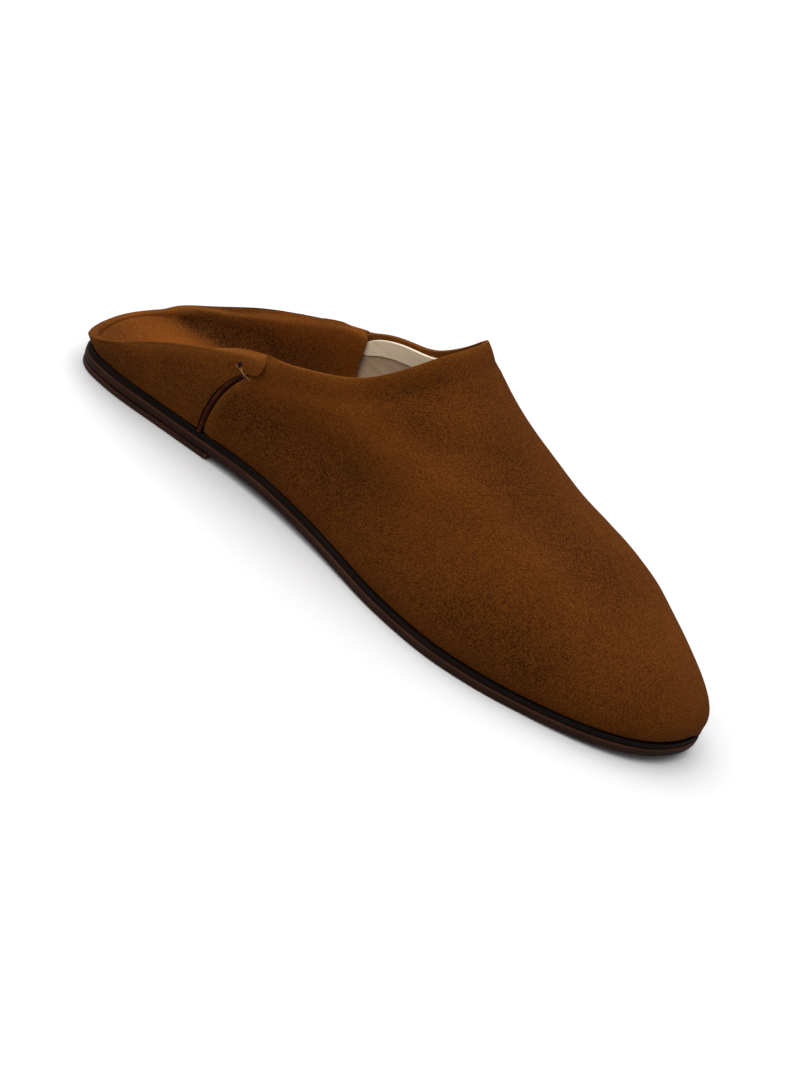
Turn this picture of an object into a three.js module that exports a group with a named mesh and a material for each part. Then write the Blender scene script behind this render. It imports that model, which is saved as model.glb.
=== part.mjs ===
// A babouche: a heelless leather slipper whose back is folded down flat inside. Right foot, in mm.
// The toe points along +X, the inner side of the foot is +Y, up is +Z, and the ground is Z = 0.
// All pieces are worked out from one last: an outline, a height along it, and a rounded section.
import * as THREE from 'three';
import { mergeVertices } from 'three/addons/utils/BufferGeometryUtils.js';

// Driving sizes
const LENGTH = 272;
const BALL_WIDTH = 89;
const INSTEP = 81;
const HEEL_LIFT = 2.6;
const HEEL_LIFT_LENGTH = 72;
const OUTSOLE = 3.4;
const MIDSOLE = 1.8;
const INSOLE = 1.6;
const VAMP_WALL = 2;
const QUARTER_WALL = 1.4;
const GAP = 0.3;
const MIDDLE_Y = 2.08;

// Smaller sizes
const UPPER_INSET = 1.6;
const LIFT_INSET = 0.4;
const MIDSOLE_INSET = 0.3;
const INSOLE_CLEARANCE = 0.4;
const BULGE = 2.6;
const BULGE_HEIGHT = 10;
const ROUNDNESS = 0.9;
const SEAM_GROOVE = 1.4;
const SEAM_CLOSED = 0.2;
const SEAM_CLOSING = { from: 3.8, to: 4.7, topline: 5.4 };
const PIPING_RADIUS = 0.75;
const PIPING_SINK = 0.45;
const PIPING_STEPS = { from: 0.25, to: 3.76, apart: 0.5 };
const EDGE_BEVEL = 0.7;
const LAYER_BEVEL = 0.2;
const FOLD_WIDTH = 4.4;
const FLAP_CLEARANCE = 0.45;
const TIP_ANGLE = 0.05;
const ROUND_END = 0.6;

// Grid sizes
const SOLE_STATIONS = 44;
const VAMP_ROWS = 28;
const VAMP_SIDE_COLUMNS = 18;
const QUARTER_COLUMNS = 38;
const FLAP_ROWS = 4;
const WALL_ROWS = 7;
const COLUMN_CROWDING = 1.15;
const ROW_SPREAD = 1.5;

// Edge of the sole either side of the middle line: x in lengths, the rest in ball widths.
// The outer side is negative.
const OUTLINE = [
  { x: 0.0, lateral: 0.0, medial: 0.0 },
  { x: 0.026, lateral: -0.27, medial: 0.236 },
  { x: 0.055, lateral: -0.318, medial: 0.302 },
  { x: 0.11, lateral: -0.336, medial: 0.333 },
  { x: 0.2, lateral: -0.32, medial: 0.33 },
  { x: 0.31, lateral: -0.306, medial: 0.312 },
  { x: 0.41, lateral: -0.332, medial: 0.32 },
  { x: 0.5, lateral: -0.382, medial: 0.372 },
  { x: 0.6, lateral: -0.452, medial: 0.462 },
  { x: 0.68, lateral: -0.476, medial: 0.515 },
  { x: 0.75, lateral: -0.45, medial: 0.524 },
  { x: 0.82, lateral: -0.39, medial: 0.49 },
  { x: 0.88, lateral: -0.327, medial: 0.42 },
  { x: 0.93, lateral: -0.25, medial: 0.338 },
  { x: 0.97, lateral: -0.148, medial: 0.26 },
  { x: 1.0, lateral: 0.095, medial: 0.095 },
];

// Underside of the outsole above the ground: level at the heel, raised at the arch, flat at the ball,
// and sprung at the toe.
const UNDERSIDE = [
  { x: 0.0, height: 2.9 },
  { x: 0.24, height: 2.9 },
  { x: 0.34, height: 3.4 },
  { x: 0.44, height: 2.2 },
  { x: 0.52, height: 0.8 },
  { x: 0.59, height: 0.0 },
  { x: 0.79, height: 0.0 },
  { x: 0.86, height: 0.7 },
  { x: 0.93, height: 2.0 },
  { x: 1.0, height: 4.1 },
];

// Top line of the last above the upper's lower edge, in insteps. Behind the throat it runs on up the leg.
const RIDGE = [
  { x: 0.0, height: 1.9 },
  { x: 0.22, height: 1.7 },
  { x: 0.3, height: 1.56 },
  { x: 0.41, height: 1.3 },
  { x: 0.511, height: 1.0 },
  { x: 0.56, height: 0.88 },
  { x: 0.62, height: 0.765 },
  { x: 0.68, height: 0.665 },
  { x: 0.735, height: 0.585 },
  { x: 0.79, height: 0.534 },
  { x: 0.845, height: 0.464 },
  { x: 0.9, height: 0.37 },
  { x: 0.94, height: 0.28 },
  { x: 0.97, height: 0.19 },
  { x: 1.0, height: 0.0 },
];

// Back edge of the vamp on each side, in mm: up the side seam, along the topline and up to the throat.
const BACK_EDGE = [
  { step: 0, lateralX: 65.5, lateralZ: 8.7, medialX: 68.5, medialZ: 8.7 },
  { step: 1, lateralX: 66.2, lateralZ: 17, medialX: 69.2, medialZ: 17 },
  { step: 2, lateralX: 67.6, lateralZ: 25.5, medialX: 70.5, medialZ: 25.5 },
  { step: 3, lateralX: 71, lateralZ: 35, medialX: 74, medialZ: 35 },
  { step: 4, lateralX: 76, lateralZ: 42, medialX: 79, medialZ: 43 },
  { step: 5, lateralX: 82, lateralZ: 51, medialX: 85.5, medialZ: 52 },
  { step: 6, lateralX: 93, lateralZ: 54.6, medialX: 94, medialZ: 57.3 },
  { step: 7, lateralX: 104, lateralZ: 58.7, medialX: 103, medialZ: 60.8 },
  { step: 8, lateralX: 112, lateralZ: 62.5, medialX: 113, medialZ: 63.2 },
  { step: 9, lateralX: 121, lateralZ: 69.8, medialX: 121.5, medialZ: 69.8 },
  { step: 10, lateralX: 128.5, lateralZ: 77.8, medialX: 129, medialZ: 77.8 },
  { step: 11, lateralX: 134.5, lateralZ: 84.8, medialX: 134.5, medialZ: 84.8 },
  { step: 12, lateralX: 137.2, lateralZ: 87, medialX: 137.2, medialZ: 87 },
  { step: 13, lateralX: 138.5, lateralZ: 88, medialX: 138.5, medialZ: 88 },
];
const SEAM_TOP_STEP = 5;

// Crest of the folded heel above the ground, in mm, against x in lengths.
const FOLD = [
  { x: 0.0, lateral: 13, medial: 13 },
  { x: 0.02, lateral: 13.9, medial: 14 },
  { x: 0.05, lateral: 16.6, medial: 18.4 },
  { x: 0.11, lateral: 24.2, medial: 26 },
  { x: 0.16, lateral: 32, medial: 33.6 },
  { x: 0.22, lateral: 41, medial: 42.2 },
  { x: 0.28, lateral: 50, medial: 50.6 },
  { x: 0.3, lateral: 51.5, medial: 52 },
  { x: 0.34, lateral: 52, medial: 52.5 },
];

// How far the sides are pushed outward at their top by the folded heel, in mm, against x in lengths.
const FLARE = [
  { x: 0.0, out: 0 },
  { x: 0.04, out: 2 },
  { x: 0.12, out: 3 },
  { x: 0.24, out: 4.2 },
  { x: 0.31, out: 4.2 },
  { x: 0.38, out: 2.4 },
  { x: 0.47, out: 0 },
];

// Free edge of the folded part, from the seam top down to the insole: x in mm ahead of the seam top.
const FREE_EDGE = [
  { height: 12, ahead: 4.5 },
  { height: 30, ahead: 5 },
  { height: 40, ahead: 5.2 },
  { height: 46, ahead: 4.6 },
  { height: 50, ahead: 3 },
  { height: 53, ahead: 2.2 },
];
const CREST_BACK = 3;

// Rounding of the fold's crest: how far in it stands and how far it drops, both in half fold widths.
const CREST = [
  { depth: 0.3, drop: 0.45 },
  { depth: 1, drop: 0.1 },
  { depth: 1.7, drop: 0 },
];
const INNER_DROP = 0.6;
const HIDDEN_DROP = 1.2;
const FLAP_CORNER = 0.3;

// The flap's free edge: x at the middle line and at the back of the heel, in mm, and how it sweeps.
const FLAP_MIDDLE_X = 75;
const FLAP_BACK_X = 9;
const FLAP_SWEEP = 1.4;

// A smooth curve through a table's rows that never swings past them.
function smooth(rows, input, output, scale = 1, warp = (value) => value) {
  const xs = rows.map((row) => warp(row[input]));
  const ys = rows.map((row) => row[output] * scale);
  const slopes = xs.slice(1).map((x, i) => (ys[i + 1] - ys[i]) / (x - xs[i]));
  const tangents = xs.map((x, i) => {
    if (i === 0) return slopes[0];
    if (i === xs.length - 1) return slopes[i - 1];
    const [before, after] = [slopes[i - 1], slopes[i]];
    return before * after <= 0 ? 0 : (2 * before * after) / (before + after);
  });
  return (value) => {
    const at = THREE.MathUtils.clamp(warp(value), xs[0], xs[xs.length - 1]);
    const found = xs.findIndex((x, i) => i > 0 && at <= x);
    const i = Math.max(found, 1) - 1;
    const step = xs[i + 1] - xs[i];
    const t = (at - xs[i]) / step;
    const rise = ys[i] * (1 + 2 * t) * (1 - t) ** 2 + ys[i + 1] * t * t * (3 - 2 * t);
    return rise + step * (tangents[i] * t * (1 - t) ** 2 - tangents[i + 1] * t * t * (1 - t));
  };
}

// The angle that runs from 0 at the heel to PI at the toe, so that both ends of the outline are round.
const angleAt = (share) => Math.acos(THREE.MathUtils.clamp(1 - 2 * share, -1, 1));
const lateralEdge = smooth(OUTLINE, 'x', 'lateral', BALL_WIDTH, angleAt);
const medialEdge = smooth(OUTLINE, 'x', 'medial', BALL_WIDTH, angleAt);
const underside = smooth(UNDERSIDE, 'x', 'height');
const ridge = smooth(RIDGE, 'x', 'height', INSTEP, angleAt);

const undersideAt = (x) => underside(x / LENGTH);
const midsoleBottom = (x) => undersideAt(x) + OUTSOLE + GAP;
const midsoleTop = (x) => midsoleBottom(x) + MIDSOLE;
const upperBottom = (x) => midsoleTop(x) + GAP;
const insoleTop = (x) => upperBottom(x) + INSOLE;
const flapTop = (x) => insoleTop(x) + FLAP_CLEARANCE + QUARTER_WALL;

// A point of the sole's outline: turn is negative on the outer side, positive on the inner side.
function outlinePoint(turn) {
  const share = (1 - Math.cos(turn)) / 2;
  const y = turn < 0 ? lateralEdge(share) : medialEdge(share);
  return new THREE.Vector2(share * LENGTH, y);
}

// The inward direction of the outline at a turn.
function inward(turn) {
  const step = 0.01;
  const along = outlinePoint(turn + step).sub(outlinePoint(turn - step)).normalize();
  return new THREE.Vector2(along.y, -along.x);
}

function insetPoint(turn, inset) {
  return outlinePoint(turn).addScaledVector(inward(turn), inset);
}

const turnAtX = (x, side) => side * angleAt(x / LENGTH);

const foldCrest = {
  [-1]: smooth(FOLD, 'x', 'lateral'),
  [1]: smooth(FOLD, 'x', 'medial'),
};
const flareOut = smooth(FLARE, 'x', 'out');

// The outward push at x and height z: full at the fold's crest, none at the upper's lower edge.
function flare(x, z) {
  const low = upperBottom(x);
  const crest = (foldCrest[-1](x / LENGTH) + foldCrest[1](x / LENGTH)) / 2;
  return flareOut(x / LENGTH) * THREE.MathUtils.smoothstep(z, low, crest);
}

// How far the leather swells out over its lower edge, at a height above that edge.
function swell(height) {
  const t = Math.max(height, 0) / BULGE_HEIGHT;
  return BULGE * t * Math.exp(1 - t);
}

// A point of the last: lift is 0 at the upper's lower edge and PI / 2 on the top line.
function lastPoint(x, lift, side) {
  const turn = turnAtX(x, side);
  const edge = insetPoint(turn, UPPER_INSET);
  const normal = inward(turn);
  const other = inward(-turn);
  const middle = (insetPoint(turn, UPPER_INSET).y + insetPoint(-turn, UPPER_INSET).y) / 2;
  const spread = Math.cos(lift) ** ROUNDNESS;
  const height = ridge(x / LENGTH) * Math.sin(lift) ** ROUNDNESS;
  const out = swell(height) + flare(x, upperBottom(x) + height);
  const lengthwise = THREE.MathUtils.lerp((normal.x + other.x) / 2, normal.x, spread);
  return new THREE.Vector3(
    x + lengthwise * (UPPER_INSET - out),
    middle + (edge.y - middle) * spread - normal.y * out * spread,
    upperBottom(x) + height,
  );
}

// The lift that brings a point of the last at x to a height z.
function liftAtHeight(x, z) {
  const share = THREE.MathUtils.clamp((z - upperBottom(x)) / ridge(x / LENGTH), 0, 1);
  return Math.asin(share ** (1 / ROUNDNESS));
}

// How far the last's side stands in from the outline at x and height z.
function wallInset(x, z) {
  const turn = turnAtX(x, 1);
  const half = (medialEdge(x / LENGTH) - lateralEdge(x / LENGTH)) / 2;
  const lean = half * (1 - Math.cos(liftAtHeight(x, z)) ** ROUNDNESS);
  const ends = Math.min(1, turn / ROUND_END);
  return UPPER_INSET + lean * ends - swell(z - upperBottom(x)) - flare(x, z);
}

// A closed solid's geometry from a list of quads and triangles of points, turned to face outward.
function solid(faces) {
  const positions = [];
  for (const face of faces) {
    for (let i = 2; i < face.length; i += 1) {
      for (const point of [face[0], face[i - 1], face[i]]) positions.push(point.x, point.y, point.z);
    }
  }
  const raw = new THREE.BufferGeometry();
  raw.setAttribute('position', new THREE.Float32BufferAttribute(positions, 3));
  const merged = mergeVertices(raw, 1e-3);
  const index = [...merged.index.array];
  const kept = [];
  let volume = 0;
  const corner = (i) => new THREE.Vector3().fromBufferAttribute(merged.attributes.position, i);
  for (let i = 0; i < index.length; i += 3) {
    const [a, b, c] = index.slice(i, i + 3);
    if (a === b || b === c || a === c) continue;
    kept.push([a, b, c]);
    volume += corner(a).dot(corner(b).cross(corner(c)));
  }
  merged.setIndex(kept.flatMap(([a, b, c]) => (volume > 0 ? [a, b, c] : [a, c, b])));
  return merged;
}

// Faces between two rows of points of equal length; closed rows also join their last point to the first.
function strip(rowA, rowB, closed = false) {
  const faces = [];
  const count = closed ? rowA.length : rowA.length - 1;
  for (let i = 0; i < count; i += 1) {
    const next = (i + 1) % rowA.length;
    faces.push([rowA[i], rowA[next], rowB[next], rowB[i]]);
  }
  return faces;
}

// A layer of the sole between two heights, its lower edge bevelled, from the heel to the share lastTurn.
function soleLayer(inset, bottom, top, bevel, lastTurn = Math.PI - TIP_ANGLE) {
  const rings = [];
  for (let i = 0; i <= SOLE_STATIONS; i += 1) {
    const turn = THREE.MathUtils.lerp(TIP_ANGLE, lastTurn, i / SOLE_STATIONS);
    const place = (side, extra, heightAt, rise) => {
      const flat = insetPoint(side * turn, inset + extra);
      return new THREE.Vector3(flat.x, flat.y, heightAt(flat.x) + rise);
    };
    rings.push([
      place(-1, bevel, bottom, 0),
      place(-1, 0, bottom, bevel),
      place(-1, 0, top, 0),
      place(1, 0, top, 0),
      place(1, 0, bottom, bevel),
      place(1, bevel, bottom, 0),
    ]);
  }
  const faces = rings.slice(1).flatMap((ring, i) => strip(rings[i], ring, true));
  const endCap = ([a, b, c, d, e, f]) => [[a, b, e, f], [b, c, d, e]];
  const backCap = endCap(rings[0]).map((face) => face.reverse());
  return solid([...faces, ...backCap, ...endCap(rings[SOLE_STATIONS])]);
}

function outsole() {
  return soleLayer(0, undersideAt, (x) => undersideAt(x) + OUTSOLE, EDGE_BEVEL);
}

function heelLift() {
  return soleLayer(LIFT_INSET, () => 0, () => HEEL_LIFT, EDGE_BEVEL, angleAt(HEEL_LIFT_LENGTH / LENGTH));
}

function midsole() {
  return soleLayer(MIDSOLE_INSET, midsoleBottom, midsoleTop, LAYER_BEVEL);
}

function insole() {
  return soleLayer(UPPER_INSET + VAMP_WALL + INSOLE_CLEARANCE, upperBottom, insoleTop, LAYER_BEVEL);
}

// The vamp's back edge on one side, from its foot (0) to the throat (1).
const backEdge = {
  lateralX: smooth(BACK_EDGE, 'step', 'lateralX'),
  lateralZ: smooth(BACK_EDGE, 'step', 'lateralZ'),
  medialX: smooth(BACK_EDGE, 'step', 'medialX'),
  medialZ: smooth(BACK_EDGE, 'step', 'medialZ'),
};

function backEdgeAt(step, side) {
  const name = side < 0 ? 'lateral' : 'medial';
  return { x: backEdge[`${name}X`](step), z: backEdge[`${name}Z`](step) };
}

// Half the width of the groove that takes the piping. It closes at the seam's top.
function seamHalf(step) {
  const closing = THREE.MathUtils.smoothstep(step, SEAM_CLOSING.from, SEAM_CLOSING.to);
  return THREE.MathUtils.lerp(SEAM_GROOVE, SEAM_CLOSED, closing);
}

// A point of the vamp's outer face: column runs from -1 (outer edge) over the top line (0) to 1,
// and reach from 1 at the back edge to 0 at the toe's tip.
function vampPoint(column, reach) {
  const side = column < 0 ? -1 : 1;
  const climb = (1 - Math.abs(column)) ** COLUMN_CROWDING;
  const step = climb * (BACK_EDGE.length - 1);
  const back = backEdgeAt(step, side);
  const onSeam = 1 - THREE.MathUtils.smoothstep(step, SEAM_CLOSING.to, SEAM_CLOSING.topline);
  const backX = back.x + seamHalf(step) * onSeam;
  const x = LENGTH - (LENGTH - backX) * reach;
  const backLift = liftAtHeight(backX, back.z);
  const toeLift = (climb * Math.PI) / 2;
  const lift = climb === 0 ? 0 : THREE.MathUtils.lerp(toeLift, backLift, reach ** ROW_SPREAD);
  return lastPoint(x, climb === 1 ? Math.PI / 2 : lift, side);
}

function vampNormal(column, reach) {
  const step = 1e-3;
  const inner = vampPoint(Math.min(column + step, 1), reach);
  const outer = vampPoint(Math.max(column - step, -1), reach);
  const near = Math.min(reach + step, 1);
  const far = Math.max(reach - step, step / 10);
  const along = vampPoint(column, far).sub(vampPoint(column, near));
  return inner.sub(outer).cross(along).normalize();
}

// One wall of real thickness, open at the topline and underneath.
function vamp() {
  const outer = [];
  const inner = [];
  for (let i = 0; i <= VAMP_ROWS; i += 1) {
    const reach = 1 - Math.sin((i / VAMP_ROWS) * Math.PI / 2);
    const outerRow = [];
    const innerRow = [];
    for (let j = -VAMP_SIDE_COLUMNS; j <= VAMP_SIDE_COLUMNS; j += 1) {
      const column = j / VAMP_SIDE_COLUMNS;
      const point = vampPoint(column, reach);
      const normal = i === VAMP_ROWS ? new THREE.Vector3(-1, 0, 0) : vampNormal(column, reach);
      if (Math.abs(column) === 1) normal.setZ(0).normalize();
      const toMiddle = new THREE.Vector3(LENGTH / 2, 0, 0).sub(point);
      if (normal.dot(toMiddle) < 0) normal.negate();
      outerRow.push(point);
      innerRow.push(point.clone().addScaledVector(normal, VAMP_WALL));
    }
    outer.push(outerRow);
    inner.push(innerRow);
  }
  const faces = [];
  for (let i = 0; i < VAMP_ROWS; i += 1) {
    faces.push(...strip(outer[i], outer[i + 1]));
    faces.push(...strip(inner[i + 1], inner[i]));
  }
  faces.push(...strip(inner[0], outer[0]));
  for (const j of [0, 2 * VAMP_SIDE_COLUMNS]) {
    const outerSide = outer.map((row) => row[j]);
    const innerSide = inner.map((row) => row[j]);
    const foot = strip(innerSide, outerSide);
    faces.push(...(j === 0 ? foot.map((face) => face.reverse()) : foot));
  }
  return solid(faces);
}

const freeEdge = smooth(FREE_EDGE, 'height', 'ahead');

// Where the seam's quarter side stands at a height, and where the folded layer's free edge stands.
function seamX(z, side) {
  let step = SEAM_TOP_STEP;
  for (let guess = 0; guess <= SEAM_TOP_STEP; guess += 0.05) {
    if (backEdgeAt(guess, side).z >= z) {
      step = guess;
      break;
    }
  }
  return backEdgeAt(step, side).x - seamHalf(step);
}

const freeX = (z, side) => backEdgeAt(SEAM_TOP_STEP, side).x + freeEdge(z);
const crestEndX = (z, side) => backEdgeAt(SEAM_TOP_STEP, side).x - CREST_BACK;

// A point of the heel piece: share is -1 at the outer seam, 0 at the back, 1 at the inner seam.
function quarterPoint(share, depth, z, frontX) {
  const side = share < 0 ? -1 : 1;
  const turn = turnAtX(frontX(z, side), 1) * share;
  const x = outlinePoint(turn).x;
  const flat = insetPoint(turn, wallInset(x, z) + depth);
  return new THREE.Vector3(flat.x, flat.y, z);
}

// The section of the folded sheet at one share round the heel, as a visible side and a hidden side.
function quarterSection(share) {
  const side = share < 0 ? -1 : 1;
  const frontTurn = turnAtX(backEdgeAt(SEAM_TOP_STEP, side).x, 1);
  const crestX = outlinePoint(frontTurn * share).x;
  const low = upperBottom(crestX);
  const crest = foldCrest[side](crestX / LENGTH);
  const flap = flapTop(crestX);
  const round = Math.min(FOLD_WIDTH / 2, (crest - flap) / 2);
  const half = FOLD_WIDTH / 2;
  const folded = FOLD_WIDTH - QUARTER_WALL;
  const at = (depth, z, frontX) => quarterPoint(share, depth, z, frontX);
  const facet = (part) => THREE.MathUtils.lerp(flap + round, crest - round, part);
  const middleX = THREE.MathUtils.lerp(FLAP_BACK_X, FLAP_MIDDLE_X, Math.abs(share) ** FLAP_SWEEP);
  const wall = (depth, top) => {
    const rows = [];
    for (let k = 0; k <= WALL_ROWS; k += 1) {
      rows.push(at(depth, THREE.MathUtils.lerp(low, top, k / WALL_ROWS), seamX));
    }
    return rows;
  };
  const visible = [
    ...wall(0, crest - half),
    at(half * CREST[0].depth, crest - half * CREST[0].drop, crestEndX),
    at(half * CREST[1].depth, crest - half * CREST[1].drop, crestEndX),
    at(half * CREST[2].depth, crest - half * CREST[2].drop, freeX),
    at(FOLD_WIDTH, crest - round * INNER_DROP, freeX),
    at(FOLD_WIDTH, facet(0.5), freeX),
    at(FOLD_WIDTH, flap + round, freeX),
    at(FOLD_WIDTH + round * FLAP_CORNER, flap + round * FLAP_CORNER, freeX),
    at(FOLD_WIDTH + round, flap, freeX),
  ];
  const hiddenWall = [
    at(folded, flap - QUARTER_WALL, freeX),
    at(folded, facet(0.5), freeX),
    at(folded, crest - half * HIDDEN_DROP, crestEndX),
    ...wall(QUARTER_WALL, crest - half * HIDDEN_DROP).reverse(),
  ];
  const start = visible[visible.length - 1];
  const flapLine = [];
  for (let k = 1; k <= FLAP_ROWS; k += 1) {
    const t = k / FLAP_ROWS;
    const x = THREE.MathUtils.lerp(start.x, middleX, THREE.MathUtils.smoothstep(t, 0, 1));
    const y = k === FLAP_ROWS ? 0 : start.y * (1 - t);
    flapLine.push(new THREE.Vector3(x, y, THREE.MathUtils.lerp(start.z, flapTop(middleX), t)));
  }
  const under = flapLine.map((point) => point.clone().setZ(point.z - QUARTER_WALL)).reverse();
  return { visible: [...visible, ...flapLine], hidden: [...under, ...hiddenWall] };
}

// The heel piece: up the outside, over the folded crest, down the inside and flat across the insole.
function heelQuarter() {
  const sections = [];
  for (let i = 0; i <= QUARTER_COLUMNS; i += 1) {
    sections.push(quarterSection((2 * i) / QUARTER_COLUMNS - 1));
  }
  const faces = [];
  for (let i = 0; i < QUARTER_COLUMNS; i += 1) {
    const [here, next] = [sections[i], sections[i + 1]];
    faces.push(...strip(here.visible, next.visible));
    faces.push(...strip(here.hidden, next.hidden));
    const foot = [here.hidden.at(-1), here.visible[0], next.visible[0], next.hidden.at(-1)];
    faces.push(foot);
  }
  faces.push(...endFaces(sections[0]).map((face) => face.reverse()));
  faces.push(...endFaces(sections[QUARTER_COLUMNS]));
  return solid(faces);
}

// Closes the folded sheet's end between its visible and hidden sides.
function endFaces({ visible, hidden }) {
  const v = visible;
  const h = [...hidden].reverse();
  const top = WALL_ROWS;
  const wall = strip(v.slice(0, top + 1), h.slice(0, top + 1));
  const crest = [
    [v[top], h[top], v[top + 1]],
    [v[top + 1], h[top], v[top + 2]],
    [v[top + 2], h[top], h[top + 1], v[top + 3]],
    [v[top + 3], h[top + 1], v[top + 4]],
  ];
  const facet = [
    [v[top + 4], h[top + 1], h[top + 2], v[top + 5]],
    [v[top + 5], h[top + 2], h[top + 3], v[top + 6]],
    [v[top + 6], h[top + 3], v[top + 7]],
    [v[top + 7], h[top + 3], v[top + 8]],
  ];
  const flap = strip(v.slice(top + 8), h.slice(top + 3));
  const turned = [...crest, ...facet].map((face) => face.reverse());
  return [...wall, ...turned, ...flap];
}

// A thin round strip of leather laid in the groove of a side seam.
function piping(side) {
  const points = [];
  for (let step = PIPING_STEPS.from; step <= PIPING_STEPS.to; step += PIPING_STEPS.apart) {
    const { x, z } = backEdgeAt(step, side);
    const flat = insetPoint(turnAtX(x, side), wallInset(x, z) + PIPING_SINK);
    points.push(new THREE.Vector3(flat.x, flat.y, z));
  }
  const path = new THREE.CatmullRomCurve3(points);
  const section = new THREE.Shape().absarc(0, 0, PIPING_RADIUS, 0, 2 * Math.PI);
  const tube = new THREE.ExtrudeGeometry(section, { steps: 14, curveSegments: 8, extrudePath: path });
  tube.deleteAttribute('normal');
  tube.deleteAttribute('uv');
  return mergeVertices(tube, 1e-4);
}

function leather(color, roughness) {
  return new THREE.MeshStandardMaterial({ color, roughness, metalness: 0 });
}

const suede = 0x6b3b10;
const edgeLeather = 0x2e1a14;
const group = new THREE.Group();
group.position.set(-LENGTH / 2, -MIDDLE_Y, 0);
const pieces = [
  ['heel_lift', heelLift(), leather(0x3a221a, 0.6)],
  ['outsole', outsole(), leather(edgeLeather, 0.55)],
  ['midsole', midsole(), leather(0x24140f, 0.6)],
  ['insole', insole(), leather(0xb59a78, 0.75)],
  ['vamp', vamp(), leather(suede, 0.95)],
  ['heel_quarter', heelQuarter(), leather(suede, 0.95)],
  ['piping_lateral', piping(-1), leather(0x4a2414, 0.8)],
  ['piping_medial', piping(1), leather(0x4a2414, 0.8)],
];
for (const [name, geometry, material] of pieces) {
  const mesh = new THREE.Mesh(geometry, material);
  mesh.name = name;
  group.add(mesh);
}

export default group;
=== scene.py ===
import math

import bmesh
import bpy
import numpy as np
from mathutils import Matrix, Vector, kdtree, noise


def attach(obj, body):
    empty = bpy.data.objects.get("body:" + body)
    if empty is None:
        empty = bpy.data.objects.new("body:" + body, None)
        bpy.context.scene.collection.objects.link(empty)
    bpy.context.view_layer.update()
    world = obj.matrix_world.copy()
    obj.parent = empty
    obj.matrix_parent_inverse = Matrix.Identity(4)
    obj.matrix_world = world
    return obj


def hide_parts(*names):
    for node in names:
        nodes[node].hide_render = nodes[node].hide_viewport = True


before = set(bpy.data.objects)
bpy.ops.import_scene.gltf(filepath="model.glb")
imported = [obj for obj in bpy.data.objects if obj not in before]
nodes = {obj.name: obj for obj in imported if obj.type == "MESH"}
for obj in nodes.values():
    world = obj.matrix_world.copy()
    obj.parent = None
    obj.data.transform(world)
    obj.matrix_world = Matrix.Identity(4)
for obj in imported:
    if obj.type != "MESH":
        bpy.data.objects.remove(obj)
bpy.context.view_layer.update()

# %% [markdown]
# # A babouche slipper in brown suede
# A babouche is a leather slipper with its back folded down flat inside, so that the foot slides in. The CAD
# model gives every solid at its real size, in metres, with the toe along +X, the inner side of the right
# foot at +Y, and the ground at Z = 0. The cells below put soft leather in the place of each plain solid:
# rounded edges, creases, a lining with its cut edge, a tack at each seam, and suede that shows its nap.

MM = 0.001


def mm(x, y, z):
    """A point given in millimetres, in metres."""
    return Vector((x * MM, y * MM, z * MM))


# %% [markdown]
# ## From a CAD solid to a soft form
# A CAD node comes in as loose triangles. A maker's pattern piece is one connected sheet, so a *copy* of the
# node has its corners merged and its triangles joined into the quads they were cut from. Quads are what the
# Subdivision Surface modifier smooths best. The edges that have to stay crisp, such as the rim of a wall,
# get a small bevel first: its extra loops hold the rim in place while everything else turns round.

# %% Copy, bevel and smooth a solid
SAME_CORNER = 0.02 * MM
QUAD_BEND = math.radians(60)
QUAD_SKEW = math.radians(150)


def merged_copy(node):
    """A bmesh copy of a CAD node, merged and joined into quads."""
    form = bmesh.new()
    form.from_mesh(nodes[node].data)
    bmesh.ops.remove_doubles(form, verts=form.verts, dist=SAME_CORNER)
    bmesh.ops.join_triangles(form, faces=form.faces, angle_face_threshold=QUAD_BEND,
                             angle_shape_threshold=QUAD_SKEW)
    print(node, "copy:", len(form.faces), "faces")
    return form


def sharp_edges(form, degrees):
    """The edges where two faces meet at more than an angle."""
    return [e for e in form.edges if len(e.link_faces) == 2 and e.calc_face_angle() > math.radians(degrees)]


def hold_edges(form, degrees, width):
    """Bevels the sharp edges, so that smoothing leaves them as narrow rounded rims."""
    bmesh.ops.bevel(form, geom=sharp_edges(form, degrees), offset=width * MM, offset_type="OFFSET",
                    segments=2, profile=0.5, affect="EDGES", clamp_overlap=True, material=-1)


def hold_corners(form, places, reach):
    """Gives the corners near some places a full vertex crease, so that smoothing leaves them square."""
    crease = form.verts.layers.float.new("crease_vert")
    for place in places:
        held = [v for v in form.verts if (v.co - place).length < reach * MM]
        for vert in held:
            vert[crease] = 1.0
        print("corners held:", len(held))


def as_object(form, name):
    """Turns a bmesh into a smooth-shaded object at the origin."""
    mesh = bpy.data.meshes.new(name)
    form.to_mesh(mesh)
    form.free()
    mesh.shade_smooth()
    piece = bpy.data.objects.new(name, mesh)
    bpy.context.scene.collection.objects.link(piece)
    return piece


def add_modifier(piece, kind, **settings):
    """Adds a modifier and gives it its settings."""
    modifier = piece.modifiers.new(kind.title(), kind)
    for name, value in settings.items():
        setattr(modifier, name, value)
    return modifier


def applied(piece):
    """Replaces the piece's mesh by the mesh its modifiers make."""
    ready = piece.evaluated_get(bpy.context.evaluated_depsgraph_get())
    mesh = bpy.data.meshes.new_from_object(ready)
    piece.modifiers.clear()
    piece.data = mesh
    mesh.shade_smooth()
    return piece


def smoothed(piece, levels):
    """Subdivides a piece and keeps the result as its mesh."""
    add_modifier(piece, "SUBSURF", levels=levels, render_levels=levels)
    return applied(piece)


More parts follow.
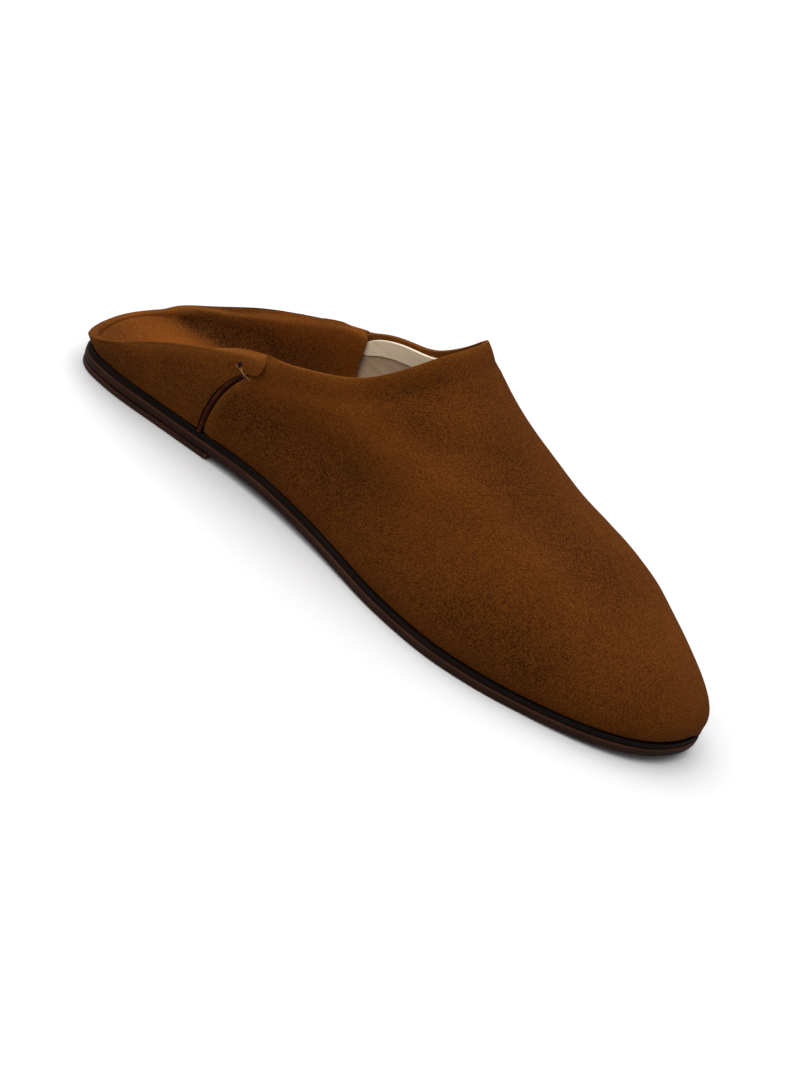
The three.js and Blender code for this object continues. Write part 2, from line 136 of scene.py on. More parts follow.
# %% [markdown]
# ## Creases as soft troughs and ridges
# Leather never lies like a machined shell. Walking, storing and lasting leave it with broad rolls and
# hollows. Sculpting them by hand could not be repeated, so each one is written as a short path over the
# shoe, a width and a height, all in millimetres. A point near the path moves out or in, and the move fades
# like a bell curve. The move goes away from the middle of the foot, so both faces of a wall go together, and
# it fades out towards the sole, where the leather is held. A slow swell keeps the rest from looking drawn.

# %% The crease tool
CORE_HEIGHT = 26 * MM
CORE_ENDS = (-92 * MM, 86 * MM)
SWELL_SIZE = 26
SWELL_HEIGHT = 0.3
UPPER_FOOT = 9
SOLE_HOLD = 9


def bell(distance, width):
    """1 at no distance, fading softly to 0 past the width."""
    return np.exp(-(distance / width) ** 2)


def coordinates(mesh):
    """The places of a mesh's corners, one row for each."""
    flat = np.zeros(len(mesh.vertices) * 3)
    mesh.vertices.foreach_get("co", flat)
    return flat.reshape(-1, 3)


def outward(points):
    """Unit directions from the middle of the foot to each point."""
    core = np.stack([np.clip(points[:, 0], *CORE_ENDS), np.zeros(len(points)),
                     np.full(len(points), CORE_HEIGHT)], axis=1)
    away = points - core
    return away / np.maximum(np.linalg.norm(away, axis=1, keepdims=True), 1e-9)


def distance_to_path(points, path):
    """The distance from each point to a path of corners given in millimetres."""
    corners = np.array(path, float) * MM
    nearest = np.full(len(points), 1.0)
    for start, end in zip(corners[:-1], corners[1:]):
        along = end - start
        share = np.clip((points - start) @ along / (along @ along), 0, 1)
        nearest = np.minimum(nearest, np.linalg.norm(points - start - share[:, None] * along, axis=1))
    return nearest


def crease_height(points, creases):
    """How far each point moves out, in metres, from all the creases together."""
    height = np.zeros(len(points))
    for crease in creases:
        away = distance_to_path(points, crease["path"])
        height += crease["height"] * MM * bell(away, crease["width"] * MM)
    return height


def uneven(points, size):
    """A slow noise about 0 with lumps of one size, the same at every run."""
    return np.array([noise.noise(Vector(p) / (size * MM)) for p in points])


def near_sole(points):
    """0 at the upper's lower edge and 1 from a few millimetres above it."""
    return np.clip((points[:, 2] / MM - UPPER_FOOT) / SOLE_HOLD, 0, 1)


def press(piece, creases):
    """Moves a piece's points out or in along its creases."""
    points = coordinates(piece.data)
    height = crease_height(points, creases) + uneven(points, SWELL_SIZE) * SWELL_HEIGHT * MM
    height = height * near_sole(points)
    moved = points + outward(points) * height[:, None]
    piece.data.vertices.foreach_set("co", moved.ravel())
    piece.data.update()
    print(piece.name, "moves from", round(height.min() / MM, 2), "to", round(height.max() / MM, 2), "mm")


def pull(piece, place, move, reach):
    """Pulls the leather round a place along a direction; both are given in millimetres."""
    points = coordinates(piece.data)
    near = bell(np.linalg.norm(points - np.array(place) * MM, axis=1), reach * MM)
    piece.data.vertices.foreach_set("co", (points + near[:, None] * np.array(move) * MM).ravel())
    piece.data.update()


print("the swell of the leather:", SWELL_SIZE, "mm wide and", SWELL_HEIGHT, "mm high")

# %% [markdown]
# ## Measuring how far a point is from an edge
# A turned edge, a cut lining or suede paled by wear and a painted highlight all follow an edge at a fixed
# distance. A k-d tree holds points every millimetre along that edge, and gives the nearest one to any other
# point at once. The distance is stored on the mesh as an attribute, which the materials can read later.

# %% Edge distance
WALL_EDGE = 50
TOPLINE_FROM = 50.5 * MM
SEAM_FROM = 10.5 * MM
SEAM_END = -50 * MM
MIDDLE_TONE = 0.5


def edge_tree(edges, parts):
    """A k-d tree of points along some edges, each edge cut into equal parts."""
    shares = [i / parts for i in range(parts)]
    points = [e.verts[0].co.lerp(e.verts[1].co, share) for e in edges for share in shares]
    tree = kdtree.KDTree(len(points))
    for i, point in enumerate(points):
        tree.insert(point, i)
    tree.balance()
    return tree


def distances(points, tree):
    """How far each point is from the nearest point of a tree."""
    return np.array([tree.find(Vector(p))[2] for p in points])


def store(piece, name, values):
    """Stores one number for each vertex of a piece."""
    layer = piece.data.attributes.new(name, "FLOAT", "POINT")
    layer.data.foreach_set("value", np.asarray(values, np.float32))


def nap_and_painted_light(points, marks):
    """The tone at each point, from 0, darkest, to 1, lightest: the nap's own tone with painted shade and
    painted light.
    """
    tone = np.full(len(points), MIDDLE_TONE)
    for mark in marks:
        tone += mark["tone"] * bell(distance_to_path(points, mark["path"]), mark["width"] * MM)
    return np.clip(tone, 0, 1)


plain_vamp = merged_copy("vamp")
wall_edges = sharp_edges(plain_vamp, WALL_EDGE)
top_edges = [e for e in wall_edges if min(v.co.z for v in e.verts) > TOPLINE_FROM]
seam_edges = [e for e in wall_edges
              if max(v.co.z for v in e.verts) > SEAM_FROM and min(v.co.x for v in e.verts) < SEAM_END]
topline = edge_tree(top_edges, 10)
seam = edge_tree(seam_edges, 10)
plain_vamp.free()
print("edges along the topline:", len(top_edges), "and along the seams:", len(seam_edges))

# %% [markdown]
# ## The vamp
# The front of the slipper is one piece of suede, pulled over the last from seam to seam, with its top edge
# turned in and hammered flat. Its creases are a broad roll down the outer side where the foot bends, the
# hollow below it, and slight dips and swells over the instep and toes. The marks make the suede darker (a
# tone below 0) or lighter (above 0): partly the nap's own tone, partly painted shade and painted light.

# %% Creases of the vamp
VAMP_CREASES = (
    dict(name="outer roll", width=8, height=1.3,
         path=((-34, -31, 46), (-2, -32, 50), (24, -31, 53), (46, -29, 49), (66, -26, 44))),
    dict(name="hollow under the roll", width=10, height=-1.7,
         path=((-44, -31, 30), (-14, -34, 32), (6, -37, 30), (28, -41, 26))),
    dict(name="hollow over the outer toes", width=9, height=-1.2,
         path=((36, -14, 63), (58, -18, 52), (78, -18, 42))),
    dict(name="fold from the throat", width=6, height=0.7,
         path=((-10, -30, 62), (14, -25, 66), (34, -4, 67))),
    dict(name="trough under the throat", width=5.5, height=-0.9,
         path=((-16, -28, 64), (0, -24, 72), (14, -4, 78))),
    dict(name="dip over the instep", width=13, height=-0.25, path=((44, 2, 60), (60, 4, 54))),
    dict(name="swell over the big toe", width=11, height=0.9, path=((66, 14, 50), (92, 16, 42))),
    dict(name="inner roll", width=10, height=0.7,
         path=((-20, 31, 46), (14, 38, 44), (44, 44, 36), (70, 43, 28))),
    dict(name="hollow under the inner roll", width=9, height=-0.9,
         path=((-36, 31, 34), (-4, 36, 29), (26, 42, 24))),
    dict(name="swell over the inner ball", width=12, height=0.8, path=((66, 22, 44), (84, 18, 43))),
    dict(name="toe crease", width=4, height=-0.3, path=((78, -30, 30), (88, -4, 40), (84, 24, 37))),
    dict(name="pull at the seam", width=4, height=-0.35,
         path=((-56, -32, 44), (-44, -32, 39), (-34, -33, 37))),
)
# Marks of painted shade: the lower outer and inner sides, beside the seam, under the roll, the outer toes and
# behind the throat. The crown of the roll, the outer ball and the seam corner are lighter, partly from rubbed
# nap and partly as painted light.
VAMP_MARKS = (
    dict(name="lower outer side", width=11, tone=-0.42,
         path=((-62, -32, 24), (-36, -34, 22), (-4, -35, 24), (30, -42, 17), (56, -44, 17), (84, -39, 15))),
    dict(name="beside the seam", width=7, tone=-0.14,
         path=((-60, -32, 36), (-52, -32, 30), (-48, -33, 24))),
    dict(name="under the roll", width=9, tone=-0.2,
         path=((-40, -32, 30), (-14, -34, 34), (8, -35, 38))),
    dict(name="outer toes", width=11, tone=-0.2,
         path=((52, -38, 30), (78, -34, 28), (96, -30, 20), (114, -22, 20))),
    dict(name="flat of the foot", width=14, tone=-0.32,
         path=((26, -8, 70), (52, -15, 56), (80, -6, 48))),
    dict(name="behind the throat", width=6, tone=-0.16,
         path=((-14, -28, 64), (0, -24, 71), (12, -8, 78))),
    dict(name="outer side of the instep", width=9, tone=-0.14, path=((4, -28, 62), (20, -26, 62))),
    dict(name="crown of the roll", width=9, tone=0.22,
         path=((-40, -31, 49), (-22, -29, 57), (0, -31, 52), (22, -31, 53))),
    dict(name="rubbed seam corner", width=4, tone=0.2, path=((-52, -32, 50), (-48, -32, 42))),
    dict(name="outer ball", width=8, tone=0.08, path=((20, -32, 50), (64, -31, 40))),
    dict(name="toe cap", width=12, tone=-0.04, path=((88, 1, 46), (95, -22, 34), (116, -10, 31))),
    dict(name="lower inner side", width=11, tone=-0.3,
         path=((-60, 32, 20), (-10, 36, 20), (40, 46, 16), (86, 42, 15))),
    dict(name="scuff on the toe", width=4, tone=0.1, path=((104, 8, 38), (112, 4, 34))),
)

print("creases of the vamp:", len(VAMP_CREASES), "and marks in its nap:", len(VAMP_MARKS))

# %% [markdown]
# ### The turned edges
# Where suede is folded in at an edge it is twice as thick. The lip stands out a little, and a shallow line
# shows where the turned leather ends. At a side seam the edge rounds over towards the piping instead. Both
# are a profile over the distance from the edge, so one formula gives them all the way along.

# %% Profiles of the turned edges
LIP = 4.0 * MM
LIP_CROWN = 0.4 * LIP
LIP_HEIGHT = 0.45
TURNING = 7.6 * MM
TURNING_LINE = 2.2 * MM
TURNING_DEPTH = 0.6
SEAM_ROUND = 1.4 * MM
SEAM_DROP = 0.3
SEAM_SWELL_AT = 3.2 * MM
SEAM_SWELL = 1.8 * MM
SEAM_SWELL_HEIGHT = 0.25


def turned_edge(depth):
    """The height of the lip and its line at a depth below the topline."""
    lip = LIP_HEIGHT * bell(depth - LIP_CROWN, LIP)
    line = TURNING_DEPTH * bell(depth - TURNING, TURNING_LINE)
    return (lip - line) * MM


def seam_edge(depth):
    """The height of the rounded edge at a depth from a side seam."""
    swell = SEAM_SWELL_HEIGHT * bell(depth - SEAM_SWELL_AT, SEAM_SWELL)
    drop = SEAM_DROP * bell(depth, SEAM_ROUND)
    return (swell - drop) * MM


print("lip and line, mm below the topline:", round(LIP_CROWN / MM, 1), round(TURNING / MM, 1))

# %% [markdown]
# ### The vamp as one sheet
# The copy of the CAD solid has its rims bevelled and its two seam corners held, and is smoothed twice. At
# each seam top a pull draws the corner back under the heel piece, which laps over it. Creases and turned
# edges are pressed in last; the edge's paling (wear and a painted highlight) and the nap's tone, with its
# painted shade and light, are stored for the suede.

# %% Build the vamp
UPPER_RIM = 55
SEAM_TOPS = (mm(-54, -32.5, 51), mm(-50.5, 30.5, 52))
SEAM_TOP_REACH = 4
VAMP_PULLS = (
    ((-53.0, -31.5, 51.0), (-2.6, 0.4, 0.2)),
    ((-49.5, 30.0, 52.0), (-1.0, 0.2, 0.2)),
)
VAMP_PULL_REACH = 3.6
SEAM_BELOW_LIP = 6 * MM
EDGE_WEAR_AND_HIGHLIGHT = 1.1 * MM
THROAT_START = -26
THROAT_FADE = 20
TURNING_SHADE_TONE = 0.2
TURNING_SHADE = 2.4 * MM


def suede_form(node, rim):
    """A copy of a node with its sharp edges bevelled to a narrow rim."""
    form = merged_copy(node)
    hold_edges(form, UPPER_RIM, rim)
    return form


vamp_form = suede_form("vamp", 0.5)
hold_corners(vamp_form, SEAM_TOPS, SEAM_TOP_REACH)
vamp = smoothed(as_object(vamp_form, "vamp_suede"), 2)
for place, move in VAMP_PULLS:
    pull(vamp, place, move, VAMP_PULL_REACH)
press(vamp, VAMP_CREASES)
points = coordinates(vamp.data)
depth = distances(points, topline)
seam_depth = distances(points, seam)
edge_height = turned_edge(depth) + seam_edge(seam_depth) * (depth > SEAM_BELOW_LIP)
vamp.data.vertices.foreach_set("co", (points + outward(points) * edge_height[:, None]).ravel())
# The edge value pales the suede along the topline and the seams: partly wear, partly a painted highlight.
store(vamp, "edge", np.exp(-np.minimum(depth, seam_depth) / EDGE_WEAR_AND_HIGHLIGHT))
# Beside the throat, the tone is lowered along the line of the turning: painted shade in that trough.
beside_throat = np.clip((points[:, 0] / MM - THROAT_START) / THROAT_FADE, 0, 1)
turning_shade = TURNING_SHADE_TONE * beside_throat * bell(depth - TURNING, TURNING_SHADE)
store(vamp, "nap_and_painted_light", nap_and_painted_light(points, VAMP_MARKS) - turning_shade)
print("vamp vertices:", len(points))

# %% [markdown]
# ## The folded heel
# The back is cut from thinner suede. It stands up from the sole, folds over at its crest, goes down the
# inside and lies on the insole, where the heel of the foot treads it flat. Its small creases fan out from
# the bend, where the curved sheet has too much leather. Its marks are mostly painted shade on the walls,
# the inner facet and the fold line, and painted light on the flap and the inner facet.

# %% Creases of the heel
HEEL_CREASES = (
    dict(name="tread hollow", width=14, height=-0.4, path=((-104, 0, 14), (-84, 0, 13))),
    dict(name="padding inside the rim", width=3.0, height=1.9,
         path=((-113, -28, 16.5), (-119, -25.5, 14.5), (-125, -19.5, 13.2), (-128.5, -12, 12.6),
               (-130, -4, 12.4), (-130, 4, 12.4), (-128.5, 12, 12.8), (-125, 19, 13.6), (-121, 22.5, 15))),
    dict(name="padding of the flap", width=9, height=1.1,
         path=((-116, -14, 13), (-121, 0, 12.6), (-116, 12, 13))),
    dict(name="fold line of the inner facet", width=2.2, height=-0.45,
         path=((-124, 19, 15), (-119, 22.5, 14), (-110, 24.2, 14), (-98, 24, 13.6), (-84, 24, 13))),
    dict(name="outer bend", width=3.5, height=0.35,
         path=((-118, -14, 14), (-96, -23, 16), (-74, -26, 20))),
    dict(name="inner bend", width=3.5, height=0.35,
         path=((-118, 14, 14), (-96, 23, 16), (-74, 26, 20))),
    dict(name="outer wall hollow", width=8, height=-0.7,
         path=((-112, -29, 17), (-92, -31, 24), (-76, -31, 30))),
    dict(name="inner wall hollow", width=8, height=-0.7,
         path=((-112, 29, 17), (-92, 31, 24), (-76, 31, 30))),
    dict(name="first pleat", width=2.4, height=-0.3,
         path=((-127, -9, 17), (-118, -6, 13), (-108, -4, 12.6))),
    dict(name="second pleat", width=2.4, height=-0.3,
         path=((-127, 8, 17), (-117, 6, 13), (-106, 5, 12.6))),
)
# Painted shade on the outer and inner walls, the inner facet and its fold line; painted light on the flap and
# on the upper part of the inner facet.
HEEL_MARKS = (
    dict(name="outer wall", width=17, tone=-0.5,
         path=((-128, -14, 12), (-110, -30, 14), (-90, -32, 18), (-64, -32, 24))),
    dict(name="inner wall", width=14, tone=-0.35,
         path=((-128, 14, 12), (-110, 30, 14), (-90, 32, 18), (-64, 32, 24))),
    dict(name="inner facet", width=9, tone=-0.28,
         path=((-118, 26, 18), (-104, 27, 19), (-80, 27, 26), (-52, 26, 34), (-50, 26, 20))),
    dict(name="shade in the fold line", width=2.5, tone=-0.22,
         path=((-122, 20.5, 15), (-110, 24.4, 14), (-98, 24.4, 13.6), (-84, 24, 13))),
    dict(name="light on the inner facet", width=6, tone=0.16, path=((-90, 28, 33), (-80, 28, 38))),
    dict(name="light on the flap", width=20, tone=0.5, path=((-124, 2, 14), (-100, 0, 14), (-82, -16, 18))),
)
print("creases of the heel:", len(HEEL_CREASES), "and marks in its nap:", len(HEEL_MARKS))

# %% [markdown]
# ### The heel as one sheet
# Walls, crest and flap are one piece of leather, so they are smoothed as one. Its parts face many ways, and
# so its creases move along the sheet's own normals. At the top of each seam its corner is pulled forward to
# lap over the vamp. The crest is paler, partly worn where hands pull at it and partly a painted highlight.

# %% Build the folded heel
HEEL_SWELL_SIZE = 22
HEEL_SWELL_HEIGHT = 0.25
CREST_AT = (-136, -130, -106, -92, -76, -55)
CREST_HEIGHT = (14, 15.5, 25, 33, 42, 52)
CREST_WEAR_AND_HIGHLIGHT = 1.5 * MM
HEEL_PULLS = (
    ((-58.0, -31.5, 44.6), (3.4, -1.3, -0.6)),
    ((-55.0, 30.0, 45.6), (3.4, 1.3, -0.6)),
    ((-52.5, 28.0, 50.0), (2.8, 0.0, 2.6)),
)
HEEL_PULL_REACH = 4.4

heel = smoothed(as_object(suede_form("heel_quarter", 0.35), "heel_suede"), 2)
points = coordinates(heel.data)
normals = np.array([v.normal for v in heel.data.vertices])
height = crease_height(points, HEEL_CREASES) + uneven(points, HEEL_SWELL_SIZE) * HEEL_SWELL_HEIGHT * MM
height *= near_sole(points)
heel.data.vertices.foreach_set("co", (points + normals * height[:, None]).ravel())
crest = np.interp(points[:, 0] / MM, CREST_AT, CREST_HEIGHT) * MM
for place, move in HEEL_PULLS:
    pull(heel, place, move, HEEL_PULL_REACH)
points = coordinates(heel.data)
# The crest's paling: partly wear, partly a painted highlight on the fold.
store(heel, "edge", np.exp(-np.abs(points[:, 2] - crest) / CREST_WEAR_AND_HIGHLIGHT))
store(heel, "nap_and_painted_light", nap_and_painted_light(points, HEEL_MARKS))
print("heel vertices:", len(points))

# %% [markdown]
# ## The lining
# Inside the vamp is a smooth cream lining, cut three millimetres short of the suede's edge. It comes from
# the inner wall of the CAD solid: the sheet is found by walking over its faces without crossing a sharp
# edge, its border is pulled back, and Solidify gives it a thickness towards the foot.

# %% Find the inner wall and pull back its border
SUEDE_MARGIN = 3.0
LINING_SET_BACK = 0.2
LINING = 0.75
SOCK_TOP = 2.2
LOW_BORDER = 11 * MM
SEAM_FOOT = -62 * MM
INSTEP_ROOF = mm(20, 0, 60)
INSTEP_MIDDLE = mm(20, 0, 26)


def inner_wall():
    """The vamp's inner wall alone, as an open sheet that faces the foot."""
    form = merged_copy("vamp")
    sharp = set(sharp_edges(form, WALL_EDGE))
    start = min(form.faces, key=lambda f: (f.calc_center_median() - INSTEP_ROOF).length)
    kept = {start}
    border = [start]
    while border:
        face = border.pop()
        for edge in face.edges:
            for other in edge.link_faces:
                if edge not in sharp and other not in kept:
                    kept.add(other)
                    border.append(other)
    bmesh.ops.delete(form, geom=[f for f in form.faces if f not in kept], context="FACES")
    return form


def pull_back(form, margin):
    """Moves the sheet's upper border down along its own edges, and its foot up over the insole."""
    moves = {}
    for vert in form.verts:
        if vert.is_boundary and vert.co.z < LOW_BORDER:
            moves[vert] = vert.co + mm(margin if vert.co.x < SEAM_FOOT else 0, 0, SOCK_TOP)
        elif vert.is_boundary:
            inner = [e.other_vert(vert) for e in vert.link_edges if not e.is_boundary]
            if inner:
                moves[vert] = vert.co + (inner[0].co - vert.co).normalized() * margin * MM
    for vert, place in moves.items():
        vert.co = place


wall = inner_wall()
facing_foot = sum(f.normal.dot(INSTEP_MIDDLE - f.calc_center_median()) > 0 for f in wall.faces)
print("lining faces:", len(wall.faces), "of which face the foot:", facing_foot)
pull_back(wall, SUEDE_MARGIN + LINING_SET_BACK)
lining = smoothed(as_object(wall, "vamp_lining"), 2)
press(lining, VAMP_CREASES)
add_modifier(lining, "SOLIDIFY", thickness=LINING * MM, offset=1)
applied(lining)

# %% [markdown]
# ### The facing
# A narrow band of paler leather stiffens the collar, and its cut edge shows as a bright line. It ends at one
# fixed depth below the topline, so it is cut from the smoothed sheet by distance: faces that lie deeper go,
# and the corners that stand just outside are drawn in on to the line of that depth.

# %% The facing band
FACING = 0.5
FACING_DEPTH = 7.6 * MM
FACING_RIM = 0.15 * MM
SAME_CUT_CORNER = 0.05 * MM


def cut_to_band(piece, tree, depth):
    """Keeps the part of a sheet that lies within a depth of an edge, with a smooth cut."""
    form = bmesh.new()
    form.from_mesh(piece.data)
    inside = {v for v in form.verts if tree.find(v.co)[2] < depth}
    deeper = [f for f in form.faces if not any(v in inside for v in f.verts)]
    bmesh.ops.delete(form, geom=deeper, context="FACES")
    for vert in form.verts:
        nearest, _, away = tree.find(vert.co)
        if vert not in inside:
            vert.co = nearest + (vert.co - nearest) * (depth / away)
    bmesh.ops.remove_doubles(form, verts=form.verts, dist=SAME_CUT_CORNER)
    form.to_mesh(piece.data)
    form.free()
    piece.data.shade_smooth()


band = inner_wall()
pull_back(band, SUEDE_MARGIN)
facing = smoothed(as_object(band, "collar_facing"), 3)
cut_to_band(facing, topline, FACING_DEPTH)
press(facing, VAMP_CREASES)
add_modifier(facing, "SOLIDIFY", thickness=(LINING + FACING) * MM, offset=1)
add_modifier(facing, "BEVEL", width=FACING_RIM, segments=2, limit_method="ANGLE")
applied(facing)
print("facing faces:", len(facing.data.polygons))

# %% [markdown]
# ## Sole, midsole, lift and insole
# Under the foot lie four thin layers of leather. On a real bench each is cut with a knife and its edge is
# sanded, inked and burnished, so no edge is truly sharp. A small bevel of two segments and a light smoothing
# give that rounded, inked edge.

# %% Build the layers of the sole
LAYER_RIM = 35


def sole_layer(node, name, rim):
    """A layer of the sole with its rims rounded by a small bevel."""
    form = merged_copy(node)
    hold_edges(form, LAYER_RIM, rim)
    return smoothed(as_object(form, name), 2)


outsole = sole_layer("outsole", "outsole_leather", 0.3)
midsole = sole_layer("midsole", "midsole_leather", 0.25)
lift_piece = sole_layer("heel_lift", "heel_lift_leather", 0.3)
insole = sole_layer("insole", "insole_leather", 0.3)
for layer in (outsole, midsole, lift_piece, insole):
    print(layer.name, len(layer.data.polygons), "faces")

# %% [markdown]
# ### The ledge of the outsole
# The midsole stands back from the outsole's edge, most of all at the heel, so the outsole shows as a ledge.
# Its points move in along their normals, level with the ground, which keeps the midsole's thickness.

# %% Set the midsole back
LEDGE_AT = (-70, -10)
LEDGE_WIDTH = (1.0, 0.4)
points = coordinates(midsole.data)
across = np.array([(v.normal.x, v.normal.y, 0.0) for v in midsole.data.vertices])
set_back = np.interp(points[:, 0] / MM, LEDGE_AT, LEDGE_WIDTH) * MM
midsole.data.vertices.foreach_set("co", (points - across * set_back[:, None]).ravel())
midsole.data.update()
print("the ledge is from", min(LEDGE_WIDTH), "to", max(LEDGE_WIDTH), "mm wide")

# %% [markdown]
# ### Rims of another colour
# The knife leaves a pale, unevenly worn line along the outsole's upper edge. The insole's side is inked
# dark, and the lift shows its pale cut end at its front. Each is stored as one number, "rim", which mixes
# a second colour into the leather.

# %% Store the rims
OUTSOLE_RIM = 60
FACES_UP = 0.5
RIM_WIDTH = 0.55 * MM
RIM_WEAR_SIZE = 14
RIM_WEAR = 0.5
RIM_MEAN = 0.75
RIM_LEAST = 0.25
INSOLE_SIDE = (0.2, 0.7)
LIFT_CUT = (-65.0 * MM, -64.0 * MM)


def is_upper_rim(edge):
    """Whether an edge lies between the top of the outsole and its side."""
    slopes = [f.normal.z for f in edge.link_faces]
    return min(slopes) < FACES_UP < max(slopes)


plain_outsole = merged_copy("outsole")
upper_rim = edge_tree([e for e in sharp_edges(plain_outsole, OUTSOLE_RIM) if is_upper_rim(e)], 20)
plain_outsole.free()
points = coordinates(outsole.data)
worn_rim = np.clip(RIM_MEAN + uneven(points, RIM_WEAR_SIZE) * RIM_WEAR, RIM_LEAST, 1)
store(outsole, "rim", worn_rim * bell(distances(points, upper_rim), RIM_WIDTH))
insole_up = np.array([v.normal.z for v in insole.data.vertices])
store(insole, "rim", np.interp(insole_up, INSOLE_SIDE, (1, 0)))
store(lift_piece, "rim", np.interp(coordinates(lift_piece.data)[:, 0], LIFT_CUT, (0, 1)))
print("outsole corners in the pale line:", int((distances(points, upper_rim) < RIM_WIDTH).sum()))

# %% [markdown]
# ## Piping
# A strip of thinner leather is folded and caught in each side seam. Only its rounded fold shows, in the
# groove between vamp and heel. It needs no more than the CAD solid smoothed once, with its foot drawn down.

# %% Build the piping
PIPING_FOOT = 11.5 * MM
FOOT_DRAW = mm(-0.1, 0, -2)
PIPING_RIM = 70


def soft_piping(node, name):
    """The strip, with its lower end drawn down on to the sole."""
    form = merged_copy(node)
    low_end = [v for v in form.verts if v.co.z < PIPING_FOOT]
    bmesh.ops.translate(form, vec=FOOT_DRAW, verts=low_end)
    print(name, "foot corners:", len(low_end))
    hold_edges(form, PIPING_RIM, 0.2)
    return smoothed(as_object(form, name), 1)


pipings = [soft_piping("piping_lateral", "piping_outer"), soft_piping("piping_medial", "piping_inner")]

# %% [markdown]
# ## The tack at the top of each seam
# Where the piping ends, the seam is held by one tack: a small dark knot in the suede, with the ends of a
# pale thread beside it. A flattened sphere is the knot, and thin tapering cones laid from point to point
# are the threads. They could be bent curves, but at this size a straight end looks the same.

# %% Build the tacks
KNOT = 1.0 * MM
KNOT_SHAPE = (0.65, 0.45, 1.25)
THREAD = 0.16 * MM
THREAD_TIP = 0.7 * THREAD
TACKS = (
    dict(side="outer", knot=(-63.9, -32.6, 43.2), threads=(
        ((-65.0, -32.7, 42.4), (-57.4, -33.1, 40.6)),
        ((-62.6, -33.3, 43.0), (-59.8, -33.1, 40.2)))),
    dict(side="inner", knot=(-60.4, 30.9, 44.2), threads=(
        ((-61.4, 31.2, 43.4), (-53.8, 31.7, 41.6)),
        ((-59.2, 31.7, 44.0), (-56.4, 31.6, 41.2)))),
)


def knot(name, centre):
    """A small flattened sphere at a place given in millimetres."""
    form = bmesh.new()
    bmesh.ops.create_uvsphere(form, u_segments=20, v_segments=12, radius=KNOT)
    bmesh.ops.scale(form, vec=KNOT_SHAPE, verts=form.verts)
    bmesh.ops.translate(form, vec=mm(*centre), verts=form.verts)
    return as_object(form, name)


def threads(name, lines):
    """Thin cones, each from a start to an end given in millimetres."""
    form = bmesh.new()
    for start, end in lines:
        along = mm(*end) - mm(*start)
        middle = Matrix.Translation((mm(*start) + mm(*end)) / 2)
        turned = along.to_track_quat("Z", "Y").to_matrix().to_4x4()
        bmesh.ops.create_cone(form, cap_ends=True, segments=10, radius1=THREAD, radius2=THREAD_TIP,
                              depth=along.length, matrix=middle @ turned)
    return as_object(form, name)


tacks = [(knot("tack_knot_" + tack["side"], tack["knot"]),
          threads("tack_threads_" + tack["side"], tack["threads"])) for tack in TACKS]
print("tacks:", len(tacks))

# %% [markdown]
# ## Materials
# First a few helpers for shader nodes. An effect that several materials share is a node group with named
# inputs and outputs. The Principled shader itself stays in each material.

# %% Shader helpers
def colour(red, green, blue):
    """A display colour from 0 to 255, as the linear colour that the shader wants."""
    values = [c / 255 for c in (red, green, blue)]
    return tuple(c / 12.92 if c <= 0.04045 else ((c + 0.055) / 1.055) ** 2.4 for c in values) + (1.0,)


def new_group(name, inputs, outputs):
    """A shader node group with float inputs given as {name: default} and outputs given by name."""
    tree = bpy.data.node_groups.new(name, "ShaderNodeTree")
    tree.interface.new_socket(name="Position", in_out="INPUT", socket_type="NodeSocketVector")
    for label, value in inputs.items():
        socket = tree.interface.new_socket(name=label, in_out="INPUT", socket_type="NodeSocketFloat")
        socket.default_value = value
    for label in outputs:
        tree.interface.new_socket(name=label, in_out="OUTPUT", socket_type="NodeSocketFloat")
    return tree, tree.nodes.new("NodeGroupInput"), tree.nodes.new("NodeGroupOutput")


def math_node(tree, operation, first, second):
    """One sum or product; each of the two may be a plain number or a socket."""
    node = tree.nodes.new("ShaderNodeMath")
    node.operation = operation
    for socket, value in zip(node.inputs, (first, second)):
        if isinstance(value, (int, float)):
            socket.default_value = value
        else:
            tree.links.new(value, socket)
    return node.outputs[0]


def range_node(tree, value, start, end):
    """Stretches the part of a value between start and end to 0 to 1, softly."""
    node = tree.nodes.new("ShaderNodeMapRange")
    node.interpolation_type = "SMOOTHSTEP"
    tree.links.new(value, node.inputs["Value"])
    node.inputs["From Min"].default_value = start
    node.inputs["From Max"].default_value = end
    return node.outputs["Result"]


def noise_node(tree, position, scale, detail, rough, stretch=None):
    """A noise over the position; stretch draws it out along the axes."""
    if stretch:
        mapping = tree.nodes.new("ShaderNodeMapping")
        mapping.inputs["Scale"].default_value = stretch
        tree.links.new(position, mapping.inputs["Vector"])
        position = mapping.outputs["Vector"]
    node = tree.nodes.new("ShaderNodeTexNoise")
    tree.links.new(position, node.inputs["Vector"])
    tree.links.new(scale, node.inputs["Scale"])
    node.inputs["Detail"].default_value = detail
    node.inputs["Roughness"].default_value = rough
    return node.outputs["Fac"]


print("the deep brown as a linear colour:", [round(c, 4) for c in colour(46, 18, 3)])

# %% [markdown]
# ### Suede nap
# Suede is the brushed inner side of a hide. Its short fibres lie this way and that, so its tone drifts in
# soft patches as wide as a thumb, mottles over a few millimetres, and is speckled at the size of a fibre.
# Three noises of those three sizes make it. They are given per metre: 30 is a patch of about 33 mm.

